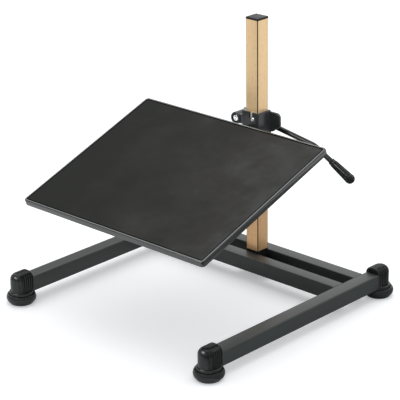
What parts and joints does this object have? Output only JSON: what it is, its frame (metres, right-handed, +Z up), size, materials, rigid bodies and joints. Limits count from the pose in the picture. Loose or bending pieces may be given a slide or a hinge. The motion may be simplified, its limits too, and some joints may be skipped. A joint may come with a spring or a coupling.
{
  "type": "footrest",
  "caption": "Free-standing footrest with a dark steel base, a gold square post and a tilting, height-adjustable platform held by a lever clamp.",
  "frame": {"origin": "on the floor, at the middle of the base between the four feet", "axes": "+Z up, +X to the user's right, -Y towards the user; the post stands near the +Y side"},
  "size_m": [0.5752, 0.5636, 0.551],
  "materials": {
    "base_steel": "satin powder coat",
    "post_gold": "satin gold anodised",
    "black_plastic": "moulded, low sheen",
    "sole_rubber": "matt",
    "zinc_steel": "zinc plated",
    "bright_chrome": "bright plated",
    "carriage_black": "satin black paint",
    "liner_nylon": "natural nylon",
    "bush_bronze": "sintered bronze",
    "board_wood": "plain fibreboard",
    "band_black": "satin moulded edging",
    "mat_rubber": "matt, fine grain",
    "bracket_steel": "satin black paint"
  },
  "bodies": {
    "base": {"left_rail": "base_steel", "right_rail": "base_steel", "front_crossbar": "base_steel", "rear_crossbar": "base_steel", "post": "post_gold", "post_cap": "black_plastic", "post_plug": "black_plastic", "base_plate": "base_steel", "post_bolt": "zinc_steel", "base_plate_screws": "zinc_steel", "levelling_nuts": "zinc_steel", "front_left_boot": "black_plastic", "front_right_boot": "black_plastic", "rear_left_boot": "black_plastic", "rear_right_boot": "black_plastic"},
    "carriage": {"clamp_body": "carriage_black", "glide_liner": "liner_nylon", "liner_screw": "bright_chrome", "clamp_rear_plate": "carriage_black", "tie_bolt": "bright_chrome", "tie_nut": "zinc_steel", "side_screws": "zinc_steel", "pressure_shoe": "liner_nylon", "pivot_bushes": "bush_bronze", "friction_washers": "liner_nylon"},
    "clamp_lever": {"lever_screw": "zinc_steel", "lever_hub": "carriage_black", "hub_pin": "zinc_steel", "lever_rod": "carriage_black", "lever_grip": "black_plastic"},
    "platform": {"platform_board": "board_wood", "edge_band": "band_black", "foot_mat": "mat_rubber", "platform_bracket": "bracket_steel", "bracket_screws": "zinc_steel", "pivot_bolt": "zinc_steel", "pivot_nut": "zinc_steel", "pivot_washers": "zinc_steel"},
    "front_left_foot": {"front_left_foot_disc": "black_plastic", "front_left_foot_sole": "sole_rubber"},
    "front_left_spindle": {"front_left_foot_spindle": "zinc_steel"},
    "front_right_foot": {"front_right_foot_disc": "black_plastic", "front_right_foot_sole": "sole_rubber"},
    "front_right_spindle": {"front_right_foot_spindle": "zinc_steel"},
    "rear_left_foot": {"rear_left_foot_disc": "black_plastic", "rear_left_foot_sole": "sole_rubber"},
    "rear_left_spindle": {"rear_left_foot_spindle": "zinc_steel"},
    "rear_right_foot": {"rear_right_foot_disc": "black_plastic", "rear_right_foot_sole": "sole_rubber"},
    "rear_right_spindle": {"rear_right_foot_spindle": "zinc_steel"}
  },
  "joints": [
    {"name": "height_slide", "type": "slide", "parent": "base", "child": "carriage", "axis": [0, 0, 1], "range_m": [-0.105, 0.185]},
    {"name": "platform_tilt", "type": "hinge", "parent": "carriage", "child": "platform", "pos_m": [0, 0.08875, 0.30629], "axis": [1, 0, 0], "range_deg": [-19.6, 7.4]},
    {"name": "clamp_lever_turn", "type": "hinge", "parent": "carriage", "child": "clamp_lever", "pos_m": [0, 0.21045, 0.318], "axis": [0, 1, 0], "range_deg": [-45, 0]},
    {"name": "front_left_level", "type": "slide", "parent": "base", "child": "front_left_foot", "axis": [0, 0, -1], "range_m": [0, 0.01]},
    {"name": "front_left_screw", "type": "hinge", "parent": "front_left_foot", "child": "front_left_spindle", "pos_m": [-0.2575, -0.25175, 0], "axis": [0, 0, 1], "range_deg": [0, 2401]},
    {"name": "front_right_level", "type": "slide", "parent": "base", "child": "front_right_foot", "axis": [0, 0, -1], "range_m": [0, 0.01]},
    {"name": "front_right_screw", "type": "hinge", "parent": "front_right_foot", "child": "front_right_spindle", "pos_m": [0.2575, -0.25175, 0], "axis": [0, 0, 1], "range_deg": [0, 2401]},
    {"name": "rear_left_level", "type": "slide", "parent": "base", "child": "rear_left_foot", "axis": [0, 0, -1], "range_m": [0, 0.01]},
    {"name": "rear_left_screw", "type": "hinge", "parent": "rear_left_foot", "child": "rear_left_spindle", "pos_m": [-0.2575, 0.25175, 0], "axis": [0, 0, 1], "range_deg": [0, 2401]},
    {"name": "rear_right_level", "type": "slide", "parent": "base", "child": "rear_right_foot", "axis": [0, 0, -1], "range_m": [0, 0.01]},
    {"name": "rear_right_screw", "type": "hinge", "parent": "rear_right_foot", "child": "rear_right_spindle", "pos_m": [0.2575, 0.25175, 0], "axis": [0, 0, 1], "range_deg": [0, 2401]}
  ],
  "couplings": [
    {"joint": "front_left_screw", "follows": "front_left_level", "rad_per_m": 4188.8},
    {"joint": "front_right_screw", "follows": "front_right_level", "rad_per_m": 4188.8},
    {"joint": "rear_left_screw", "follows": "rear_left_level", "rad_per_m": 4188.8},
    {"joint": "rear_right_screw", "follows": "rear_right_level", "rad_per_m": 4188.8}
  ]
}
